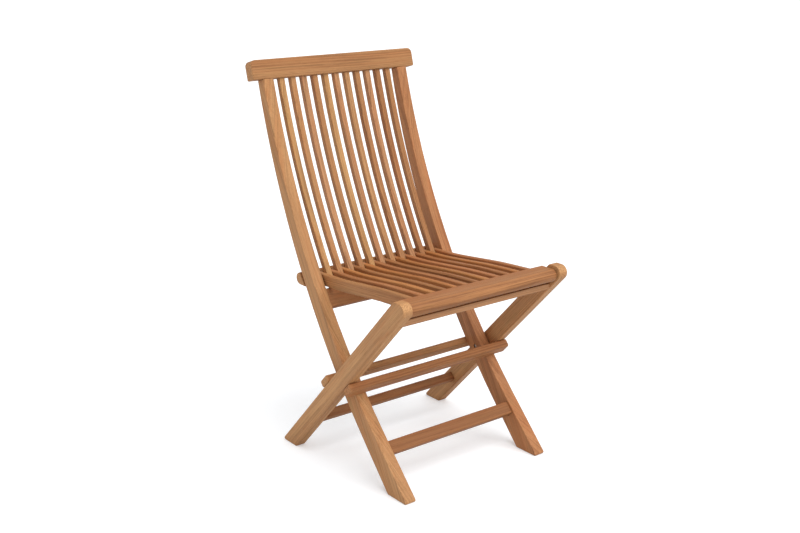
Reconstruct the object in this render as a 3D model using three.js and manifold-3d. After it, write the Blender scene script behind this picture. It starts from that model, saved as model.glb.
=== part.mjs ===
// Folding side chair of slatted teak, opened for use.
// Millimetres, +Z up, +X to the right as seen from the front,
// the front of the chair faces -Y, the floor is Z = 0.
//
// Three bodies fold about two pairs of pins:
//   back frame  long curved posts, top rail, back slats, lower back rail, stop bars, front stretcher
//   leg frame   short straight legs outside the posts, seat support rail, rear stretcher
//   seat        front rail, lengthwise slats, rear bar that slides up behind the posts
//
// Side shapes are drawn as [y, z] outlines and extruded along X.

import * as THREE from 'three';
import { mergeVertices } from 'three/addons/utils/BufferGeometryUtils.js';
import Module from 'manifold-3d';

const wasm = await Module();
wasm.setup();

// ---------------------------------------------------------------- driving dimensions
const GAP = 0.3;                 // clearance between glued or resting faces
const DEG = Math.PI / 180;

const TOE_Y = -277;              // front tip of the long posts on the floor
const POST_LEAN_LOW = 44;        // lean of the straight lower part, degrees from vertical
const POST_STRAIGHT = 170;       // length of that straight part along the front edge
const POST_RADIUS = 1689;        // bend radius of the front edge above it
const POST_TOP = 1023;           // front edge length from the floor to the top rail
const POST_DEPTH_FOOT = 52;      // side view depth at the floor
const POST_TAPER = 0.0325;       // depth lost for each millimetre of front edge
const POST_TAPER_EASE = 6.7e-6;  // how the taper eases off towards the top
const POST_OUT = 206.9;          // outer faces of the posts, each side of the middle
const POST_THICK = 28;
const POST_IN = POST_OUT - POST_THICK;
const HOUSING = 8;               // depth of the housed joints

const LEG_LEAN = 43.5;           // lean of the short legs, degrees from vertical, top forwards
const LEG_HEEL_Y = 177.5;        // rear tip of the short legs on the floor
const LEG_WIDTH = 42.2;
const LEG_TOP_Z = 462.9;         // flat top of the short legs, level with the seat
const LEG_NOSE = 17.5;           // rounding of their front corner
const LEG_SHOULDER = 9;          // rounding of their rear top corner
const LEG_IN = 208.9;
const LEG_THICK = 24.2;
const LEG_OUT = LEG_IN + LEG_THICK;
const SEAT_PIVOT_Z = 446;        // height of the seat pins, on the legs' centre line

const RAIL_HALF = 232;           // half length of the top rail
const RAIL_HEIGHT = 45;
const RAIL_DEPTH = 29.4;
const RAIL_CORNER = 12;          // rounding of its upper corners

const BACK_SLATS = 11;
const PITCH = 30.6;
const BACK_SLAT_WIDE = 14.5;
const BACK_SLAT_FRONT = 5.8;     // set back from the front edge of the posts
const BACK_SLAT_REAR = 20;
const LOW_RAIL_FROM = 478.4;     // lower back rail, from and to, along the posts' front edge
const LOW_RAIL_TO = 524.4;
const LOW_RAIL_FRONT = 2;
const LOW_RAIL_REAR = 22;

const SEAT_SLATS = 12;
const SEAT_SLAT_WIDE = 13;
const SEAT_SLAT_HIGH = 28;
const SEAT_SLAT_SWELL = 0.018;   // extra height gained towards the front rail, per millimetre
const SEAT_SLAT_SWELL_Y = -130;  // where that starts
const SEAT_RAIL_REAR_Y = -240;   // rear face of the seat's front rail
const SEAT_RAIL_NOSE_Y = -275.5; // centre of its round front edge
const SEAT_RAIL_Z = 440.8;
const SEAT_RAIL_HALF_HIGH = 14.3;
const SEAT_RAIL_HALF = 208.2;
const REAR_BAR_Y = 126;          // centre of the rear bar's round rear edge
const REAR_BAR_Z = 412.7;
const REAR_BAR_R = 14.2;
const REAR_BAR_HEEL_Y = 103.9;   // lower front corner, behind the posts

const BAR_HALF = 234;            // half length of the two stop bars
const FRONT_BAR = { alongPost: 19.5, alongLeg: 32.6 };
const BACK_BAR = { alongPost: 17, alongLeg: 32 };
const FRONT_STRETCHER = { from: 121, to: 151, front: 5, rear: 25 };
const REAR_STRETCHER = { from: 124.6, to: 144, front: 9.4, rear: 30.8 };
const SUPPORT_RAIL = { frontY: -266.5, depth: 28, bottomZ: 404.4, topZ: 418.4 };

const PIN_R = 5;
const PIN_HOLE_R = 5.1;
const PIN_BLIND = 16;            // how deep each pin enters the short leg
const WASHER_R = 11;
const WASHER_THICK = 1.4;

// ---------------------------------------------------------------- materials
const wood = (hex) => new THREE.MeshStandardMaterial({ color: hex, roughness: 0.55, metalness: 0 });
const TEAK = wood(0xb98552);
const TEAK_RED = wood(0xb27a4c);
const TEAK_GOLD = wood(0xc0905a);
const STEEL = new THREE.MeshStandardMaterial({ color: 0xb8b8b6, roughness: 0.35, metalness: 1 });

// ---------------------------------------------------------------- plane geometry helpers
const add = (a, b, k = 1) => [a[0] + b[0] * k, a[1] + b[1] * k];
const sub = (a, b) => [a[0] - b[0], a[1] - b[1]];
const unit = (a) => {
  const l = Math.hypot(a[0], a[1]);
  return [a[0] / l, a[1] / l];
};

// Crossing point of two lines, each a point and a direction.
function cross(p, u, q, v) {
  const d = u[0] * v[1] - u[1] * v[0];
  const w = sub(q, p);
  return add(p, u, (w[0] * v[1] - w[1] * v[0]) / d);
}

// The posts' side view at a length s along the front edge:
// p on the front edge, t up the post, n towards its rear face.
function post(s) {
  const low = POST_LEAN_LOW * DEG;
  const bent = Math.max(0, s - POST_STRAIGHT);
  const lean = low - bent / POST_RADIUS;
  const run = Math.min(s, POST_STRAIGHT);
  const p = [
    TOE_Y + run * Math.sin(low) + POST_RADIUS * (Math.cos(lean) - Math.cos(low)),
    run * Math.cos(low) + POST_RADIUS * (Math.sin(low) - Math.sin(lean)),
  ];
  return { p, t: [Math.sin(lean), Math.cos(lean)], n: [Math.cos(lean), -Math.sin(lean)] };
}
const postDepth = (s) => POST_DEPTH_FOOT - POST_TAPER * s + POST_TAPER_EASE * s * s;
const inPost = (s, depth) => add(post(s).p, post(s).n, depth);

// The short legs' side view: u up the leg, w from its rear edge to its front edge.
const legUp = [-Math.sin(LEG_LEAN * DEG), Math.cos(LEG_LEAN * DEG)];
const legAcross = [-Math.cos(LEG_LEAN * DEG), -Math.sin(LEG_LEAN * DEG)];
const legHeel = [LEG_HEEL_Y, 0];
const inLeg = (s, depth) => add(add(legHeel, legUp, s), legAcross, depth);

// Seat pins: on the legs' centre line at the stated height.
const pivotRun = (SEAT_PIVOT_Z - inLeg(0, LEG_WIDTH / 2)[1]) / legUp[1];
const SEAT_PIVOT = inLeg(pivotRun, LEG_WIDTH / 2);

// Where a line along the posts at a share of their depth (0 front, 1 rear, plus an offset)
// meets a line along the legs at a depth from their rear edge.
function meet(share, offset, legDepth) {
  const at = (s) => inPost(s, share * postDepth(s) + offset);
  let s = 250;
  for (let i = 0; i < 30; i += 1) {
    const t = post(s).t;
    const hit = cross(at(s), t, inLeg(0, legDepth), legUp);
    s += (hit[0] - at(s)[0]) * t[0] + (hit[1] - at(s)[1]) * t[1];
  }
  return { s, at: at(s) };
}

// Crossing pins: where the legs' centre line meets the middle of the posts.
const CROSSING = meet(0.5, 0, LEG_WIDTH / 2);

// Replace each corner [y, z, radius] of a closed outline by an arc of the given steps.
function rounded(corners, steps = 3) {
  const out = [];
  const n = corners.length;
  corners.forEach((c, i) => {
    const r = c[2] || 0;
    const a = unit(sub(corners[(i + n - 1) % n], c));
    const b = unit(sub(corners[(i + 1) % n], c));
    if (r === 0) {
      out.push([c[0], c[1]]);
      return;
    }
    const half = Math.acos(a[0] * b[0] + a[1] * b[1]) / 2;
    const centre = add(c, unit(add(a, b)), r / Math.sin(half));
    const from = sub(add(c, a, r / Math.tan(half)), centre);
    const to = sub(add(c, b, r / Math.tan(half)), centre);
    const start = Math.atan2(from[1], from[0]);
    let turn = Math.atan2(to[1], to[0]) - start;
    if (turn > Math.PI) turn -= 2 * Math.PI;
    if (turn < -Math.PI) turn += 2 * Math.PI;
    for (let k = 0; k <= steps; k += 1) {
      const g = start + (turn * k) / steps;
      out.push([centre[0] + r * Math.cos(g), centre[1] + r * Math.sin(g)]);
    }
  });
  return out;
}

function arc(centre, r, from, to, steps) {
  const out = [];
  for (let k = 0; k <= steps; k += 1) {
    const g = (from + ((to - from) * k) / steps) * DEG;
    out.push([centre[0] + r * Math.cos(g), centre[1] + r * Math.sin(g)]);
  }
  return out;
}

// ---------------------------------------------------------------- solid geometry helpers
// Extrude an outline between two planes with softened rims, then place its axes.
function slab(outline, depth, bevel, steps, axes, origin) {
  const shape = new THREE.Shape(outline.map(([a, b]) => new THREE.Vector2(a, b)));
  const g = new THREE.ExtrudeGeometry(shape, {
    depth: depth - 2 * bevel,
    bevelEnabled: bevel > 0,
    bevelThickness: bevel,
    bevelSize: bevel,
    bevelOffset: -bevel,
    bevelSegments: steps,
    steps: 1,
  });
  g.translate(0, 0, bevel);
  g.applyMatrix4(new THREE.Matrix4().makeBasis(...axes).setPosition(...origin));
  return g;
}

const X = new THREE.Vector3(1, 0, 0);
const Y = new THREE.Vector3(0, 1, 0);
const Z = new THREE.Vector3(0, 0, 1);

// A [y, z] outline extruded along X from x0 to x1.
const alongX = (outline, x0, x1, bevel = 0, steps = 1) => (
  slab(outline, x1 - x0, bevel, steps, [Y, Z, X], [x0, 0, 0])
);

// A plain block between x0 and x1 over a four-cornered side view.
const block = (corners, x0, x1) => alongX(corners, x0, x1, 0);

// A round bar along X.
function rod(r, x0, x1, at, sides = 32) {
  const g = new THREE.CylinderGeometry(r, r, x1 - x0, sides);
  g.rotateZ(Math.PI / 2);
  g.translate((x0 + x1) / 2, at[0], at[1]);
  return g;
}

function toSolid(geometry) {
  const g = geometry.clone();
  g.deleteAttribute('normal');
  g.deleteAttribute('uv');
  const m = mergeVertices(g, 1e-4);
  return new wasm.Manifold(new wasm.Mesh({
    numProp: 3,
    vertProperties: new Float32Array(m.attributes.position.array),
    triVerts: new Uint32Array(m.index.array),
  }));
}

function toGeometry(solid) {
  const mesh = solid.getMesh();
  const g = new THREE.BufferGeometry();
  g.setAttribute('position', new THREE.BufferAttribute(new Float32Array(mesh.vertProperties), 3));
  g.setIndex(new THREE.BufferAttribute(new Uint32Array(mesh.triVerts), 1));
  g.computeVertexNormals();
  return g;
}

function carve(geometry, { cuts = [], joins = [] }) {
  let solid = toSolid(geometry);
  joins.forEach((j) => {
    solid = solid.add(toSolid(j));
  });
  cuts.forEach((c) => {
    solid = solid.subtract(toSolid(c));
  });
  return toGeometry(solid);
}

// Four corners of a block in the posts' side view, and in the legs' side view.
function postBlock(s0, s1, d0, d1, grow = 0) {
  const f = post((s0 + s1) / 2);
  const half = (s1 - s0) / 2 + grow;
  const front = add(f.p, f.n, d0 - grow);
  const rear = add(f.p, f.n, d1 + grow);
  return [add(front, f.t, -half), add(rear, f.t, -half), add(rear, f.t, half), add(front, f.t, half)];
}
function legBlock(s0, s1, d0, d1, grow = 0) {
  return [
    inLeg(s0 - grow, d1 + grow), inLeg(s0 - grow, d0 - grow),
    inLeg(s1 + grow, d0 - grow), inLeg(s1 + grow, d1 + grow),
  ];
}
const withRadius = (corners, r) => corners.map((c) => [c[0], c[1], r]);

// ---------------------------------------------------------------- assembly
const chair = new THREE.Group();
const backFrame = new THREE.Group();
const legFrame = new THREE.Group();
const seat = new THREE.Group();
chair.add(backFrame, legFrame, seat);

function put(group, name, geometry, material) {
  const mesh = new THREE.Mesh(geometry, material);
  mesh.name = name;
  group.add(mesh);
}
const sides = [['left', -1], ['right', 1]];
const span = (side, a, b) => (side < 0 ? [-b, -a] : [a, b]);

// Shapes shared by the parts that are housed in one another.
const lowRailShape = (grow) => postBlock(LOW_RAIL_FROM, LOW_RAIL_TO, LOW_RAIL_FRONT, LOW_RAIL_REAR, grow);
const frontStretcherShape = (grow) => postBlock(
  FRONT_STRETCHER.from, FRONT_STRETCHER.to, FRONT_STRETCHER.front, FRONT_STRETCHER.rear, grow,
);
const rearStretcherShape = (grow) => legBlock(
  REAR_STRETCHER.from, REAR_STRETCHER.to, REAR_STRETCHER.front, REAR_STRETCHER.rear, grow,
);
const supportRailShape = (grow) => {
  const y0 = SUPPORT_RAIL.frontY - grow;
  const y1 = SUPPORT_RAIL.frontY + SUPPORT_RAIL.depth + grow;
  const z0 = SUPPORT_RAIL.bottomZ - grow;
  const z1 = SUPPORT_RAIL.topZ + grow;
  return [[y0, z0], [y1, z0], [y1, z1], [y0, z1]];
};
const TENON = { from: 7, to: 18, half: 8, tall: 12 };
const tenonShape = (grow) => {
  const f = post(POST_TOP);
  const a = inPost(POST_TOP, TENON.from - grow);
  const b = inPost(POST_TOP, TENON.to + grow);
  const up = TENON.tall + grow;
  return [add(a, f.t, -2), add(b, f.t, -2), add(b, f.t, up), add(a, f.t, up)];
};

// Long curved posts, tapering upwards, with a flat sole and a tenon under the top rail.
const postOutline = () => {
  const steps = 16;
  const front = [];
  const rear = [];
  for (let k = 0; k <= steps; k += 1) {
    const s = POST_STRAIGHT + ((POST_TOP - GAP - POST_STRAIGHT) * k) / steps;
    front.push(inPost(s, 0));
    rear.push(inPost(s, postDepth(s)));
  }
  const low = post(0);
  const rearFoot = cross(inPost(0, postDepth(0)), sub(rear[0], inPost(0, postDepth(0))), [0, 0], [1, 0]);
  const foot = rounded([
    [...add(rearFoot, low.t, 60), 0], [...rearFoot, 4], [...low.p, 4.2], [...add(low.p, low.t, 60), 0],
  ], 3);
  return [...foot.slice(1, -1), ...front, ...rear.reverse()];
};
sides.forEach(([side, sign]) => {
  const middle = (POST_IN + POST_OUT) / 2;
  const body = alongX(postOutline(), ...span(sign, POST_IN, POST_OUT), 1.6, 2);
  const mortise = (shape) => block(shape, ...span(sign, POST_IN - 5, POST_IN + HOUSING + GAP));
  const tenon = block(tenonShape(0), ...span(sign, middle - TENON.half, middle + TENON.half));
  const g = carve(body, {
    joins: [tenon],
    cuts: [
      mortise(lowRailShape(GAP)),
      mortise(frontStretcherShape(GAP)),
      rod(PIN_HOLE_R, ...span(sign, POST_IN - 5, POST_OUT + 5), CROSSING.at),
    ],
  });
  put(backFrame, `post_${side}`, g, TEAK);
});

// Top rail over the posts, upper corners rounded, with mortises underneath.
{
  const f = post(POST_TOP);
  const outline = rounded([
    [-RAIL_HALF, 0, 3.5], [RAIL_HALF, 0, 3.5],
    [RAIL_HALF, RAIL_HEIGHT, RAIL_CORNER], [-RAIL_HALF, RAIL_HEIGHT, RAIL_CORNER],
  ], 5);
  const up = new THREE.Vector3(0, f.t[0], f.t[1]);
  const forward = new THREE.Vector3(0, -f.n[0], -f.n[1]);
  const back = inPost(POST_TOP, RAIL_DEPTH);
  const body = slab(outline, RAIL_DEPTH, 1.9, 2, [X, up, forward], [0, ...back]);
  const cuts = sides.map(([, sign]) => {
    const middle = (POST_IN + POST_OUT) / 2;
    const half = TENON.half + GAP;
    return block(tenonShape(GAP), ...span(sign, middle - half, middle + half));
  });
  for (let i = 0; i < BACK_SLATS; i += 1) {
    const x = (i - (BACK_SLATS - 1) / 2) * PITCH;
    const half = BACK_SLAT_WIDE / 2 + GAP;
    const hole = postBlock(POST_TOP - 5, POST_TOP + HOUSING + 1, BACK_SLAT_FRONT, BACK_SLAT_REAR, GAP);
    cuts.push(block(hole, x - half, x + half));
  }
  put(backFrame, 'top_rail', carve(body, { cuts }), TEAK);
}

// Lower back rail between the posts; the seat slats pass over it.
{
  const corners = withRadius(lowRailShape(0), 2);
  const body = alongX(rounded(corners, 2), -POST_IN - HOUSING, POST_IN + HOUSING, 0.5, 1);
  const cuts = [];
  for (let i = 0; i < BACK_SLATS; i += 1) {
    const x = (i - (BACK_SLATS - 1) / 2) * PITCH;
    const half = BACK_SLAT_WIDE / 2 + GAP;
    const hole = postBlock(
      LOW_RAIL_TO - HOUSING - 1, LOW_RAIL_TO + 5, BACK_SLAT_FRONT, BACK_SLAT_REAR, GAP,
    );
    cuts.push(block(hole, x - half, x + half));
  }
  put(backFrame, 'lower_back_rail', carve(body, { cuts }), TEAK_RED);
}

// Back slats, bent like the posts.
{
  const steps = 12;
  const from = LOW_RAIL_TO - HOUSING;
  const to = POST_TOP + HOUSING;
  const front = [];
  const rear = [];
  for (let k = 0; k <= steps; k += 1) {
    const s = from + ((to - from) * k) / steps;
    front.push(inPost(s, BACK_SLAT_FRONT));
    rear.push(inPost(s, BACK_SLAT_REAR));
  }
  const outline = [...front, ...rear.reverse()].reverse();
  const shades = [TEAK_GOLD, TEAK_RED, TEAK, TEAK_RED, TEAK];
  for (let i = 0; i < BACK_SLATS; i += 1) {
    const x = (i - (BACK_SLATS - 1) / 2) * PITCH;
    const g = alongX(outline, x - BACK_SLAT_WIDE / 2, x + BACK_SLAT_WIDE / 2, 1.1, 1);
    put(backFrame, `back_slat_${String(i + 1).padStart(2, '0')}`, g, shades[i % shades.length]);
  }
}

// Stop bars in the front and rear corners of the crossing. They are fixed to the posts
// and run over the edges of the short legs, which stops the chair from opening further.
{
  const legDown = [-legUp[0], -legUp[1]];
  const frontMeet = meet(0, -GAP, LEG_WIDTH + GAP);
  const frontCorner = frontMeet.at;
  const frontEnd = frontMeet.s - FRONT_BAR.alongPost;
  const down = unit(sub(inPost(frontEnd, -GAP), frontCorner));
  const rearMeet = meet(1, GAP, -GAP);
  const rearCorner = rearMeet.at;
  const rearEnd = rearMeet.s + BACK_BAR.alongPost;
  const up = unit(sub(inPost(rearEnd, postDepth(rearEnd) + GAP), rearCorner));
  const frontOutline = rounded(withRadius([
    frontCorner,
    add(frontCorner, legUp, FRONT_BAR.alongLeg),
    add(add(frontCorner, legUp, FRONT_BAR.alongLeg), down, FRONT_BAR.alongPost),
    add(frontCorner, down, FRONT_BAR.alongPost),
  ], 3.5), 2);
  const rearOutline = rounded(withRadius([
    rearCorner,
    add(rearCorner, legDown, BACK_BAR.alongLeg),
    add(add(rearCorner, legDown, BACK_BAR.alongLeg), up, BACK_BAR.alongPost),
    add(rearCorner, up, BACK_BAR.alongPost),
  ], 3.5), 2);
  put(backFrame, 'stop_bar_front', alongX(frontOutline, -BAR_HALF, BAR_HALF, 3, 2), TEAK_RED);
  put(backFrame, 'stop_bar_rear', alongX(rearOutline, -BAR_HALF, BAR_HALF, 3, 2), TEAK);
}

// Stretcher between the posts near the floor.
put(backFrame, 'front_stretcher', alongX(
  rounded(withRadius(frontStretcherShape(0), 2.5), 2), -POST_IN - HOUSING, POST_IN + HOUSING, 0.5, 1,
), TEAK_RED);

// Short straight legs outside the posts: flat on top at seat height, with a round nose.
const legOutline = () => {
  const rearTop = cross(legHeel, legUp, [0, LEG_TOP_Z], [1, 0]);
  const nose = cross(inLeg(0, LEG_WIDTH), legUp, [0, LEG_TOP_Z], [1, 0]);
  const top = rounded([
    [...add(nose, legUp, -80), 0], [...nose, LEG_NOSE], [...rearTop, LEG_SHOULDER],
    [...add(rearTop, legUp, -60), 0],
  ], 14);
  const toe = cross(inLeg(0, LEG_WIDTH), legUp, [0, 0], [1, 0]);
  const foot = rounded([
    [...add(legHeel, legUp, 60), 0], [...legHeel, 4], [...toe, 6], [...add(toe, legUp, 60), 0],
  ], 3);
  return [...foot.slice(1, -1), ...top.slice(1, -1)];
};
sides.forEach(([side, sign]) => {
  const body = alongX(legOutline(), ...span(sign, LEG_IN, LEG_OUT), 1.6, 2);
  const mortise = (shape) => block(shape, ...span(sign, LEG_IN - 5, LEG_IN + HOUSING + GAP));
  const hole = (at) => rod(PIN_HOLE_R, ...span(sign, LEG_IN - 5, LEG_IN + PIN_BLIND + GAP), at);
  const g = carve(body, {
    cuts: [
      mortise(supportRailShape(GAP)),
      mortise(rearStretcherShape(GAP)),
      hole(CROSSING.at),
      hole(SEAT_PIVOT),
    ],
  });
  put(legFrame, `short_leg_${side}`, g, TEAK);
});
put(legFrame, 'seat_support_rail', alongX(
  rounded(withRadius(supportRailShape(0), 2), 2), -LEG_IN - HOUSING, LEG_IN + HOUSING, 0.5, 1,
), TEAK_GOLD);
put(legFrame, 'rear_stretcher', alongX(
  rounded(withRadius(rearStretcherShape(0), 2), 2), -LEG_IN - HOUSING, LEG_IN + HOUSING, 0.5, 1,
), TEAK_RED);

// Seat slats: a shallow dip towards the back, stub tenons into the rails.
const seatTop = new THREE.SplineCurve([
  new THREE.Vector2(SEAT_RAIL_REAR_Y + GAP, 453.9),
  new THREE.Vector2(-147, 448.1),
  new THREE.Vector2(-67, 440),
  new THREE.Vector2(9, 432.4),
  new THREE.Vector2(63, 429.8),
  new THREE.Vector2(REAR_BAR_Y - 3, 427.2),
]);
const SLAT_TENON = { long: 8, high: 12 };
const barFaceTop = [REAR_BAR_Y, REAR_BAR_Z + REAR_BAR_R];
const barFaceLow = [REAR_BAR_HEEL_Y, REAR_BAR_Z - REAR_BAR_R];
const barFace = unit(sub(barFaceTop, barFaceLow));
const barInto = [barFace[1], -barFace[0]];
const barMiddle = add(barFaceLow, barFace, 15);
const frontTenon = (grow) => {
  const y0 = SEAT_RAIL_REAR_Y - SLAT_TENON.long - grow;
  const y1 = SEAT_RAIL_REAR_Y + 4;
  const z0 = SEAT_RAIL_Z - SLAT_TENON.high / 2 - grow;
  const z1 = SEAT_RAIL_Z + SLAT_TENON.high / 2 + grow;
  return [[y0, z0], [y1, z0], [y1, z1], [y0, z1]];
};
const rearTenon = (grow) => {
  const a = add(barMiddle, barFace, -SLAT_TENON.high / 2 - grow);
  const b = add(barMiddle, barFace, SLAT_TENON.high / 2 + grow);
  const reach = SLAT_TENON.long + grow;
  return [add(a, barInto, -4), add(a, barInto, reach), add(b, barInto, reach), add(b, barInto, -4)];
};
{
  const steps = 14;
  const top = [];
  for (let k = 0; k <= steps; k += 1) {
    const p = seatTop.getPoint(k / steps);
    top.push([p.x, p.y]);
  }
  const swell = (y) => SEAT_SLAT_SWELL * Math.max(0, SEAT_SLAT_SWELL_Y - y);
  const low = top.map(([y, z]) => [y, z - SEAT_SLAT_HIGH - swell(y)]);
  const face = add(barFaceLow, barInto, -GAP);
  const trim = (line) => {
    const n = line.length;
    const kept = line.slice(0, n - 1).filter(([y, z]) => y < cross(face, barFace, [0, z], [1, 0])[0] - 3);
    const last = kept[kept.length - 1];
    const next = line[kept.length];
    return [...kept, cross(last, sub(next, last), face, barFace)];
  };
  const lowLine = trim(low);
  const topLine = trim([...top, [REAR_BAR_Y + 6, 427]]);
  const front = frontTenon(0);
  const rear = rearTenon(0);
  const shoulderY = SEAT_RAIL_REAR_Y + GAP;
  const ft = [
    [shoulderY, front[3][1]], front[3], front[0], [shoulderY, front[0][1]],
  ];
  const shoulder = (p) => cross(p, barInto, face, barFace);
  const rt = [shoulder(rear[0]), rear[1], rear[2], shoulder(rear[3])];
  const outline = [...lowLine, ...rt, ...topLine.reverse(), ...ft];
  const shades = [TEAK, TEAK_RED, TEAK_GOLD, TEAK, TEAK_RED];
  for (let i = 0; i < SEAT_SLATS; i += 1) {
    const x = (i - (SEAT_SLATS - 1) / 2) * PITCH;
    const g = alongX(outline, x - SEAT_SLAT_WIDE / 2, x + SEAT_SLAT_WIDE / 2, 2, 1);
    put(seat, `seat_slat_${String(i + 1).padStart(2, '0')}`, g, shades[i % shades.length]);
  }
}

// Front rail of the seat, round nosed, hung between the short legs on two blind pins.
{
  const z0 = SEAT_RAIL_Z - SEAT_RAIL_HALF_HIGH;
  const z1 = SEAT_RAIL_Z + SEAT_RAIL_HALF_HIGH;
  const back = rounded([
    [SEAT_RAIL_NOSE_Y, z0, 0], [SEAT_RAIL_REAR_Y, z0, 2.5], [SEAT_RAIL_REAR_Y, z1, 2.5],
    [SEAT_RAIL_NOSE_Y, z1, 0],
  ], 2);
  const nose = arc([SEAT_RAIL_NOSE_Y, SEAT_RAIL_Z], SEAT_RAIL_HALF_HIGH, 90, 270, 12);
  const body = alongX([...back.slice(1, -1), ...nose], -SEAT_RAIL_HALF, SEAT_RAIL_HALF, 1.5, 1);
  const cuts = [];
  for (let i = 0; i < SEAT_SLATS; i += 1) {
    const x = (i - (SEAT_SLATS - 1) / 2) * PITCH;
    const half = SEAT_SLAT_WIDE / 2 + GAP;
    cuts.push(block(frontTenon(GAP), x - half, x + half));
  }
  sides.forEach(([, sign]) => {
    cuts.push(rod(PIN_HOLE_R, ...span(sign, SEAT_RAIL_HALF - 24, SEAT_RAIL_HALF + 5), SEAT_PIVOT));
  });
  put(seat, 'seat_front_rail', carve(body, { cuts }), TEAK);
}

// Rear bar of the seat: round behind, flat in front, it hooks behind the posts.
{
  const body = alongX([
    barFaceLow,
    ...arc([REAR_BAR_Y, REAR_BAR_Z], REAR_BAR_R, -90, 90, 10),
  ], -POST_OUT, POST_OUT, 1.5, 2);
  const cuts = [];
  for (let i = 0; i < SEAT_SLATS; i += 1) {
    const x = (i - (SEAT_SLATS - 1) / 2) * PITCH;
    const half = SEAT_SLAT_WIDE / 2 + GAP;
    cuts.push(block(rearTenon(GAP), x - half, x + half));
  }
  put(seat, 'seat_rear_bar', carve(body, { cuts }), TEAK_RED);
}

// Steel pins and washers. The crossing pins are set in the posts, the seat pins in the front rail.
sides.forEach(([side, sign]) => {
  const wash = (at) => {
    const x0 = POST_OUT + (LEG_IN - POST_OUT - WASHER_THICK) / 2;
    const disc = rod(WASHER_R, ...span(sign, x0, x0 + WASHER_THICK), at);
    return carve(disc, { cuts: [rod(PIN_HOLE_R, ...span(sign, x0 - 2, x0 + 4), at)] });
  };
  put(backFrame, `crossing_pin_${side}`, rod(
    PIN_R, ...span(sign, POST_IN + 1.5, LEG_IN + PIN_BLIND), CROSSING.at,
  ), STEEL);
  put(backFrame, `crossing_washer_${side}`, wash(CROSSING.at), STEEL);
  put(seat, `seat_pin_${side}`, rod(
    PIN_R, ...span(sign, SEAT_RAIL_HALF - 23.5, LEG_IN + PIN_BLIND), SEAT_PIVOT,
  ), STEEL);
});

export default chair;
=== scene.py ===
import math

import bpy
import numpy as np
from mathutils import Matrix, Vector


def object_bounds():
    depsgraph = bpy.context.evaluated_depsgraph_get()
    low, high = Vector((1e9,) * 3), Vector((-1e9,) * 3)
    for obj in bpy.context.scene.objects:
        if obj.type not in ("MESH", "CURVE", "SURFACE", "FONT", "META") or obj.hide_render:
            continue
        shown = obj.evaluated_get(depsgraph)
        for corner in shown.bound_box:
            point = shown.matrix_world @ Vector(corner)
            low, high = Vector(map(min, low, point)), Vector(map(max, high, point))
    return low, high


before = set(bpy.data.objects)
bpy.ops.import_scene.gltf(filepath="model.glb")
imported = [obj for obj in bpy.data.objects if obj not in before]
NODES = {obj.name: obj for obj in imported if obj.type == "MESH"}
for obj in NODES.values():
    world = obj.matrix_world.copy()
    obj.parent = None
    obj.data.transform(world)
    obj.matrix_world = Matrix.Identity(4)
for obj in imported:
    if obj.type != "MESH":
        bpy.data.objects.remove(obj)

CAD_LOW, CAD_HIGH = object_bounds()


# ---------------------------------------------------------------- driving values
def srgb(red, green, blue):
    """A colour in 0 to 255 steps, as the linear values that the shader takes."""
    steps = [x / 255 for x in (red, green, blue)]
    linear = [x / 12.92 if x <= 0.04045 else ((x + 0.055) / 1.055) ** 2.4 for x in steps]
    return tuple(linear) + (1.0,)


# the wood's own colours, but for the darkest, which is painted shade for the stretchers in the
# shadow under the seat
GOLD = srgb(189, 141, 90)
HONEY = srgb(184, 134, 88)
PINK = srgb(183, 133, 92)
EMBER = srgb(180, 121, 70)
RUDDY = srgb(176, 119, 76)
AMBER = srgb(171, 121, 77)
CHESTNUT = srgb(164, 110, 67)
# a deep brown that stands in for the shade under the seat: painted shade
UMBER_PAINTED_SHADE = srgb(149, 97, 57)
HANDLED_GREY = srgb(176, 146, 116)
WHITE = (1, 1, 1, 1)

# each board's colour, and how strongly its figure shows; the stretchers' and the right post's tones
# hold painted shade
BOARDS = {
    "post_left": (HONEY, 0.9),
    # the right post's darker, redder tone is partly its own and partly painted shade for its inner
    # face under the seat
    "post_right": (RUDDY, 0.9),
    "top_rail": (AMBER, 1.1),
    "lower_back_rail": (CHESTNUT, 0.9),
    "stop_bar_front": (CHESTNUT, 0.8),
    "stop_bar_rear": (AMBER, 0.8),
    # the front stretcher's dark tone is painted shade, for the shadow of the seat above it
    "front_stretcher": (UMBER_PAINTED_SHADE, 0.9),
    "short_leg_left": (HONEY, 0.75),
    "short_leg_right": (HONEY, 0.9),
    "seat_support_rail": (PINK, 0.8),
    # the rear stretcher's dark tone is painted shade, for the shadow of the seat above it
    "rear_stretcher": (UMBER_PAINTED_SHADE, 0.8),
    "seat_front_rail": (CHESTNUT, 1.3),
    "seat_rear_bar": (AMBER, 0.8),
}
# the slats' colours, in the order of their numbers
BACK_TONES = [GOLD, HONEY, PINK, AMBER, GOLD, PINK, HONEY, AMBER, PINK, CHESTNUT, AMBER]
SEAT_TONES = [
    AMBER, RUDDY, EMBER, CHESTNUT, EMBER, RUDDY, CHESTNUT, EMBER, RUDDY, CHESTNUT, EMBER, RUDDY,
]
SLAT_CONTRAST = 1.1

# red, green and blue factors on a board's own colour
DEEP = (0.44, 0.37, 0.30)      # pores and late wood
PALE = (1.20, 1.25, 1.28)
REDDER = (1.02, 0.84, 0.72)
OLIVE = (0.95, 1.02, 0.92)
SAWN = (1.42, 1.52, 1.56)      # end grain

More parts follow.
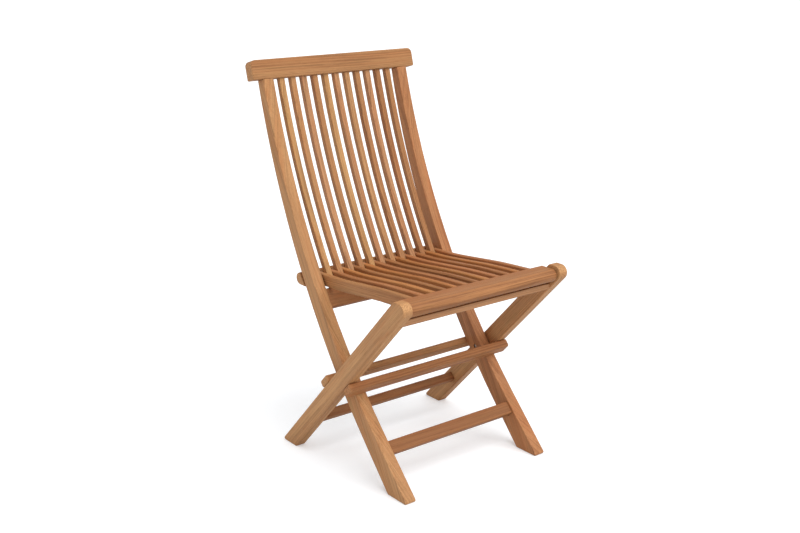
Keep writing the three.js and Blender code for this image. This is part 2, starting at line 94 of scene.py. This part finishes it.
# each noise: cells per metre along the grain and across it, then detail and roughness
DRIFT = (1.7, 5.0, 2.0, 0.5)
CLOUD = (4.0, 40.0, 2.0, 0.5)
WARMTH = (11.0, 90.0, 2.0, 0.55)
HANDLING = (7.0, 11.0, 3.0, 0.55)
FADING = (5.0, 60.0, 1.0, 0.5)
FIBRE = (4.0, 330.0, 3.0, 0.62)
FINE_FIBRE = (20.0, 1300.0, 2.0, 0.55)
PORES = (60.0, 1900.0, 1.0, 0.5)
FLECKS = (480.0, 480.0, 2.0, 0.6)
# the same for steel, along the pin and across it
LATHE = (2600.0, 240.0, 2.0, 0.5)
WEAR = (260.0, 260.0, 3.0, 0.55)

# both steel colours are darker than bare steel: painted shade for the pins in the dark gap between
# post and leg
STEEL_SHADED_DULL = (0.36, 0.355, 0.35, 1)
STEEL_SHADED_BRIGHT = (0.48, 0.475, 0.47, 1)
# bump: its strength, and its height where the noise is at full scale
WOOD_RELIEF = (0.35, 0.00035)
STEEL_RELIEF = (0.2, 0.00015)

BOARD_RINGS = 210.0            # growth rings per metre of radius
SLAT_RINGS = 270.0
WIDE_RINGS = 0.21              # broad bands of colour for each ring
RING_UNEVEN = 1.8              # how far a ring may be out of step, in rings
BOARD_WANDER = 0.02            # how far the pith wanders sideways along the grain
SLAT_WANDER = 0.014
PITH_CORNERS = (45, 135, 225, 315)
PITH_SWING = 24                # degrees to either side of a corner
PITH_REACH = (0.07, 0.16)      # from the pith to the board's middle
LOG_SHIFT = 3                  # boards come from different stretches of the log
FIRST_SEED = 40

BOARD_EDGE = 0.0011            # width of the rounding on the worked edges
SLAT_EDGE = 0.0008
WELD_DISTANCE = 1e-5
FLAT_ANGLE = math.radians(0.15)
EDGE_ANGLE = math.radians(18)

FLOOR_HALF = 60.0
FLOOR_DROP = 0.0004            # keeps the floor clear of the soles
FLOOR_COLOUR = (0.78, 0.805, 0.83, 1)
FLOOR_SEEN = 0.32              # extra brightness, for the camera only
SKY_LIGHT = 0.66
SKY_SEEN = 0.46                # extra brightness, for the camera only

KEY_FROM = Vector((0.12, -0.62, 1.0))
KEY_STRENGTH = 2.15
KEY_ANGLE = math.radians(58)

CAMERA_AT = (-1.5599, -1.9923, 1.1878)
CAMERA_YAW = math.radians(37.85)
CAMERA_PITCH = math.radians(16.6)
CAMERA_LENS = 51.18            # millimetres, as is the sensor's width
CAMERA_SENSOR = 36.0


# ---------------------------------------------------------------- shape finish
def soften(piece, width):
    """Rounds the edges of a CAD piece, as sanding does. With no width only its shading is smooth."""
    weld = piece.modifiers.new("weld", "WELD")
    weld.merge_threshold = WELD_DISTANCE
    flat = piece.modifiers.new("flat", "DECIMATE")
    flat.decimate_type = "DISSOLVE"
    flat.angle_limit = FLAT_ANGLE
    if width > 0:
        bevel = piece.modifiers.new("edge", "BEVEL")
        bevel.width = width
        bevel.segments = 2
        bevel.limit_method = "ANGLE"
        bevel.angle_limit = EDGE_ANGLE
        bevel.use_clamp_overlap = True
        bevel.miter_outer = "MITER_SHARP"
    for polygon in piece.data.polygons:
        polygon.use_smooth = True
    shade = piece.modifiers.new("shade", "WEIGHTED_NORMAL")
    shade.keep_sharp = False
    shade.weight = 80


# ---------------------------------------------------------------- node helper
class Tree:
    """Adds nodes to a material or a world, and joins them."""

    def __init__(self, owner):
        owner.use_nodes = True
        self.graph = owner.node_tree
        self.graph.nodes.clear()

    def add(self, kind, inputs=None, **settings):
        """A new node. Each input is either a value or the socket that feeds it."""
        node = self.graph.nodes.new(kind)
        for key, value in settings.items():
            setattr(node, key, value)
        for key, value in (inputs or {}).items():
            if isinstance(value, bpy.types.NodeSocket):
                self.graph.links.new(value, node.inputs[key])
            else:
                node.inputs[key].default_value = value
        return node

    def math(self, operation, a, b=0.0, c=0.0):
        return self.add("ShaderNodeMath", {0: a, 1: b, 2: c}, operation=operation).outputs[0]

    def vector(self, operation, a, b, c=(0.0, 0.0, 0.0), output=0):
        node = self.add("ShaderNodeVectorMath", {0: a, 1: b, 2: c}, operation=operation)
        return node.outputs[output]

    def mix(self, factor, a, b):
        return self.add("ShaderNodeMix", {0: factor, 6: a, 7: b}, data_type="RGBA").outputs[2]

    def ramp(self, value, low, high, to_low=0.0, to_high=1.0):
        """An eased step from low to high."""
        values = {0: value, 1: low, 2: high, 3: to_low, 4: to_high}
        node = self.add("ShaderNodeMapRange", values, interpolation_type="SMOOTHSTEP")
        return node.outputs[0]

    def grain(self, local, along, across, detail, rough, output=0):
        """Noise whose cells are as long as the first count says, and as wide as the second."""
        place = self.add("ShaderNodeMapping", {0: local, 3: (along, across, across)}).outputs[0]
        values = {"Vector": place, "Scale": 1.0, "Detail": detail, "Roughness": rough}
        return self.add("ShaderNodeTexNoise", values).outputs[output]

    def bands(self, value, scale, detail, rough):
        """Noise along a single measure."""
        values = {"W": value, "Scale": scale, "Detail": detail, "Roughness": rough}
        return self.add("ShaderNodeTexNoise", values, noise_dimensions="1D").outputs[0]

    def bump(self, height, strength, distance):
        values = {"Strength": strength, "Distance": distance, "Height": height}
        return self.add("ShaderNodeBump", values).outputs[0]

    def finish(self, shader, values, kind="ShaderNodeOutputMaterial"):
        self.add(kind, {0: self.add(shader, values).outputs[0]})


# ---------------------------------------------------------------- wood
def long_axis(piece):
    """The direction in which a piece is longest: its grain runs this way."""
    points = np.array([v.co for v in piece.data.vertices], float)
    low, high = points.min(0), points.max(0)
    points = points - (low + high) / 2
    values, vectors = np.linalg.eigh(points.T @ points)
    axis = Vector(vectors[:, int(np.argmax(values))])
    return axis if axis.z + axis.x > 0 else -axis


def scaled(colour, factors):
    """The colour with each channel multiplied, kept below white."""
    return tuple(min(1.0, c * k) for c, k in zip(colour[:3], factors)) + (1.0,)


def log_place(piece, axis, rng):
    """How the board lay in its log: the turn that lays its grain along X, and its shift."""
    middle = sum((Vector(c) for c in piece.bound_box), Vector()) / 8
    turn = axis.rotation_difference(Vector((1, 0, 0)))
    # the pith lies off one edge of the board, so that the rings cross its faces at a slant
    runs_sideways = abs(axis.x) > 0.7
    face = turn @ (Vector((0, 1, 0)) if runs_sideways else Vector((1, 0, 0)))
    corner = rng.choice(PITH_CORNERS) + rng.uniform(-PITH_SWING, PITH_SWING)
    angle = math.atan2(face.z, face.y) + math.radians(corner)
    reach = rng.uniform(*PITH_REACH)
    along = rng.uniform(-LOG_SHIFT, LOG_SHIFT)
    offset = Vector((along, reach * math.cos(angle), reach * math.sin(angle)))
    return turn, offset - turn @ middle


def pith_distance(tree, local, wander):
    """The distance from a pith that wanders slowly along the grain, so that the rings wave."""
    drift = tree.grain(local, *DRIFT, output="Color")
    shift = tree.vector("SUBTRACT", drift, (0.5, 0.5, 0.5))
    bent = tree.vector("MULTIPLY_ADD", shift, (0.0, wander, wander), local)
    split = tree.add("ShaderNodeSeparateXYZ", {0: bent})
    squares = [tree.math("POWER", split.outputs[i], 2.0) for i in (1, 2)]
    return tree.math("POWER", tree.math("ADD", *squares), 0.5)


def growth_rings(tree, local, radius, rings):
    """Soft bands of uneven width, each closed by a thin dark line of pores that comes and goes."""
    band = tree.bands(radius, rings, 3.0, 0.6)
    wide = tree.bands(radius, rings * WIDE_RINGS, 2.0, 0.5)
    uneven = tree.math("MULTIPLY", band, RING_UNEVEN)
    tooth = tree.math("FRACT", tree.math("MULTIPLY_ADD", radius, rings, uneven))
    faded = tree.ramp(tree.grain(local, *FADING), 0.40, 0.60, 0.15, 1.0)
    falling = tree.math("MULTIPLY", tree.ramp(tooth, 1.0, 0.96), faded)
    line = tree.math("MULTIPLY", tree.ramp(tooth, 0.62, 0.95), falling)
    return band, wide, tooth, line


def teak(piece, base, seed, rings, contrast, wander):
    """Bare teak from a log of its own: rings round a pith, fibres, pores and end grain."""
    axis = long_axis(piece)
    turn, shift = log_place(piece, axis, np.random.default_rng(seed))
    material = bpy.data.materials.new("teak_" + piece.name)
    tree = Tree(material)
    where = tree.add("ShaderNodeTexCoord")
    placing = {0: where.outputs["Object"], 1: tuple(shift), 2: tuple(turn.to_euler())}
    local = tree.add("ShaderNodeMapping", placing).outputs[0]
    radius = pith_distance(tree, local, wander)
    band, wide, tooth, line = growth_rings(tree, local, radius, rings)

    # fibres and pores, long along the grain and fine across it
    fibre = tree.grain(local, *FIBRE)
    fine = tree.grain(local, *FINE_FIBRE)
    pores = tree.ramp(tree.grain(local, *PORES), 0.60, 0.72)
    pores = tree.math("MULTIPLY", pores, tree.ramp(tooth, 0.45, 0.95, 0.35, 1.0))
    cloud = tree.grain(local, *CLOUD)
    warm = tree.grain(local, *WARMTH)
    handled = tree.grain(local, *HANDLING)

    # layers of colour, one over the other: where each shows, how strongly, and its tint
    deep, pale, redder, olive, sawn = (scaled(base, k) for k in (DEEP, PALE, REDDER, OLIVE, SAWN))
    colour = tree.mix(tree.ramp(cloud, 0.32, 0.70), base, pale)
    for mask, strength, tint in (
        (tree.ramp(wide, 0.42, 0.64), 0.55 * contrast, redder),
        (tree.ramp(warm, 0.58, 0.74), 0.55, redder),
        (tree.ramp(warm, 0.42, 0.28), 0.50, olive),
        (tree.ramp(band, 0.50, 0.72), 0.34 * contrast, deep),
        (line, 0.52 * contrast, deep),
        (tree.ramp(fibre, 0.50, 0.76), 0.48 * contrast, deep),
        (tree.ramp(fine, 0.50, 0.72), 0.40, deep),
        (pores, 0.50, deep),
    ):
        colour = tree.mix(tree.math("MULTIPLY", mask, strength), colour, tint)

    # sawn ends are paler and flecked, and show the rings as arcs
    facing = tree.vector("DOT_PRODUCT", where.outputs["Normal"], tuple(axis), output="Value")
    end = tree.ramp(tree.math("ABSOLUTE", facing), 0.70, 0.92)
    flecks = tree.ramp(tree.grain(local, *FLECKS), 0.48, 0.62)
    end_tone = tree.mix(tree.math("MULTIPLY", line, 0.35), sawn, deep)
    end_tone = tree.mix(tree.math("MULTIPLY", flecks, 0.70), end_tone, deep)
    colour = tree.mix(tree.math("MULTIPLY", end, 0.65), colour, end_tone)

    # handling leaves softer, slightly greyer patches
    worn = tree.math("MULTIPLY", tree.ramp(handled, 0.56, 0.78), 0.12)
    colour = tree.mix(worn, colour, HANDLED_GREY)

    # fibres and pores scatter the light more, and the pores and ring lines are sunk
    open_wood = tree.math("MULTIPLY_ADD", fibre, 0.12, tree.math("MULTIPLY", pores, 0.12))
    rough = tree.math("ADD", tree.ramp(handled, 0.3, 0.75, 0.48, 0.60), open_wood)
    height = tree.math("MULTIPLY", line, -0.35)
    for part, rise in ((fibre, 0.45), (pores, -0.9), (fine, 0.35)):
        height = tree.math("MULTIPLY_ADD", part, rise, height)
    tree.finish("ShaderNodeBsdfPrincipled", {
        "Base Color": colour, "Roughness": rough, "Normal": tree.bump(height, *WOOD_RELIEF),
        "IOR": 1.47, "Specular IOR Level": 0.32,
    })
    return material


# ---------------------------------------------------------------- steel
def steel():
    """Turned stainless steel: faint lathe lines and small worn patches, its colour darkened as
    painted shade.
    """
    material = bpy.data.materials.new("pin_steel")
    tree = Tree(material)
    where = tree.add("ShaderNodeTexCoord").outputs["Object"]
    lathe = tree.grain(where, *LATHE)
    worn = tree.grain(where, *WEAR)
    colour = tree.mix(tree.ramp(worn, 0.4, 0.7), STEEL_SHADED_DULL, STEEL_SHADED_BRIGHT)
    rough = tree.math("MULTIPLY_ADD", lathe, 0.22, tree.ramp(worn, 0.3, 0.7, 0.2, 0.34))
    tree.finish("ShaderNodeBsdfPrincipled", {
        "Base Color": colour, "Metallic": 1.0, "Roughness": rough,
        "Normal": tree.bump(lathe, *STEEL_RELIEF),
    })
    return material


# ---------------------------------------------------------------- the pieces
def cover(piece, material, edge):
    """Gives a piece its material and its rounded edges."""
    piece.data.materials.clear()
    piece.data.materials.append(material)
    soften(piece, edge)


steel_look = steel()
for order, name in enumerate(sorted(NODES)):
    piece = NODES[name]
    seed = FIRST_SEED + order
    if "pin" in name or "washer" in name:
        cover(piece, steel_look, 0.0)
    elif "slat" in name:
        tones = BACK_TONES if name.startswith("back") else SEAT_TONES
        tone = tones[int(name[-2:]) - 1]
        look = teak(piece, tone, seed, SLAT_RINGS, SLAT_CONTRAST, SLAT_WANDER)
        cover(piece, look, SLAT_EDGE)
    else:
        tone, contrast = BOARDS[name]
        look = teak(piece, tone, seed, BOARD_RINGS, contrast, BOARD_WANDER)
        cover(piece, look, BOARD_EDGE)


# ---------------------------------------------------------------- floor
def lay_floor():
    """A pale studio floor, level all round, far larger than the chair."""
    half = FLOOR_HALF
    corners = [(-half, -half, 0), (half, -half, 0), (half, half, 0), (-half, half, 0)]
    mesh = bpy.data.meshes.new("floor")
    mesh.from_pydata(corners, [], [(0, 1, 2, 3)])
    floor = bpy.data.objects.new("floor", mesh)
    bpy.context.scene.collection.objects.link(floor)
    floor.location.z = CAD_LOW.z - FLOOR_DROP
    material = bpy.data.materials.new("studio_floor")
    tree = Tree(material)
    seen = tree.add("ShaderNodeLightPath").outputs["Is Camera Ray"]
    tree.finish("ShaderNodeBsdfPrincipled", {
        "Base Color": FLOOR_COLOUR, "Roughness": 0.9, "Specular IOR Level": 0.1,
        "Emission Color": WHITE, "Emission Strength": tree.math("MULTIPLY", seen, FLOOR_SEEN),
    })
    mesh.materials.append(material)


lay_floor()


# ---------------------------------------------------------------- light
def light_studio(scene):
    """An even white surround, and one broad soft key from high in front."""
    world = bpy.data.worlds.new("studio")
    tree = Tree(world)
    seen = tree.add("ShaderNodeLightPath").outputs["Is Camera Ray"]
    strength = tree.math("MULTIPLY_ADD", seen, SKY_SEEN, SKY_LIGHT)
    glow = {"Color": WHITE, "Strength": strength}
    tree.finish("ShaderNodeBackground", glow, "ShaderNodeOutputWorld")
    scene.world = world
    scene.view_settings.view_transform = "Standard"

    data = bpy.data.lights.new("broad_key", "SUN")
    data.energy = KEY_STRENGTH
    data.angle = KEY_ANGLE
    key = bpy.data.objects.new("broad_key", data)
    scene.collection.objects.link(key)
    key.rotation_euler = (-KEY_FROM).to_track_quat("-Z", "Y").to_euler()


light_studio(bpy.context.scene)


# ---------------------------------------------------------------- camera
def place_camera(scene):
    """In front and to the left of the chair, higher than its back, looking slightly down."""
    data = bpy.data.cameras.new("camera")
    data.sensor_width = CAMERA_SENSOR
    data.lens = CAMERA_LENS
    camera = bpy.data.objects.new("camera", data)
    scene.collection.objects.link(camera)
    camera.location = CAMERA_AT
    camera.rotation_euler = (math.pi / 2 - CAMERA_PITCH, 0.0, -CAMERA_YAW)
    scene.camera = camera


place_camera(bpy.context.scene)
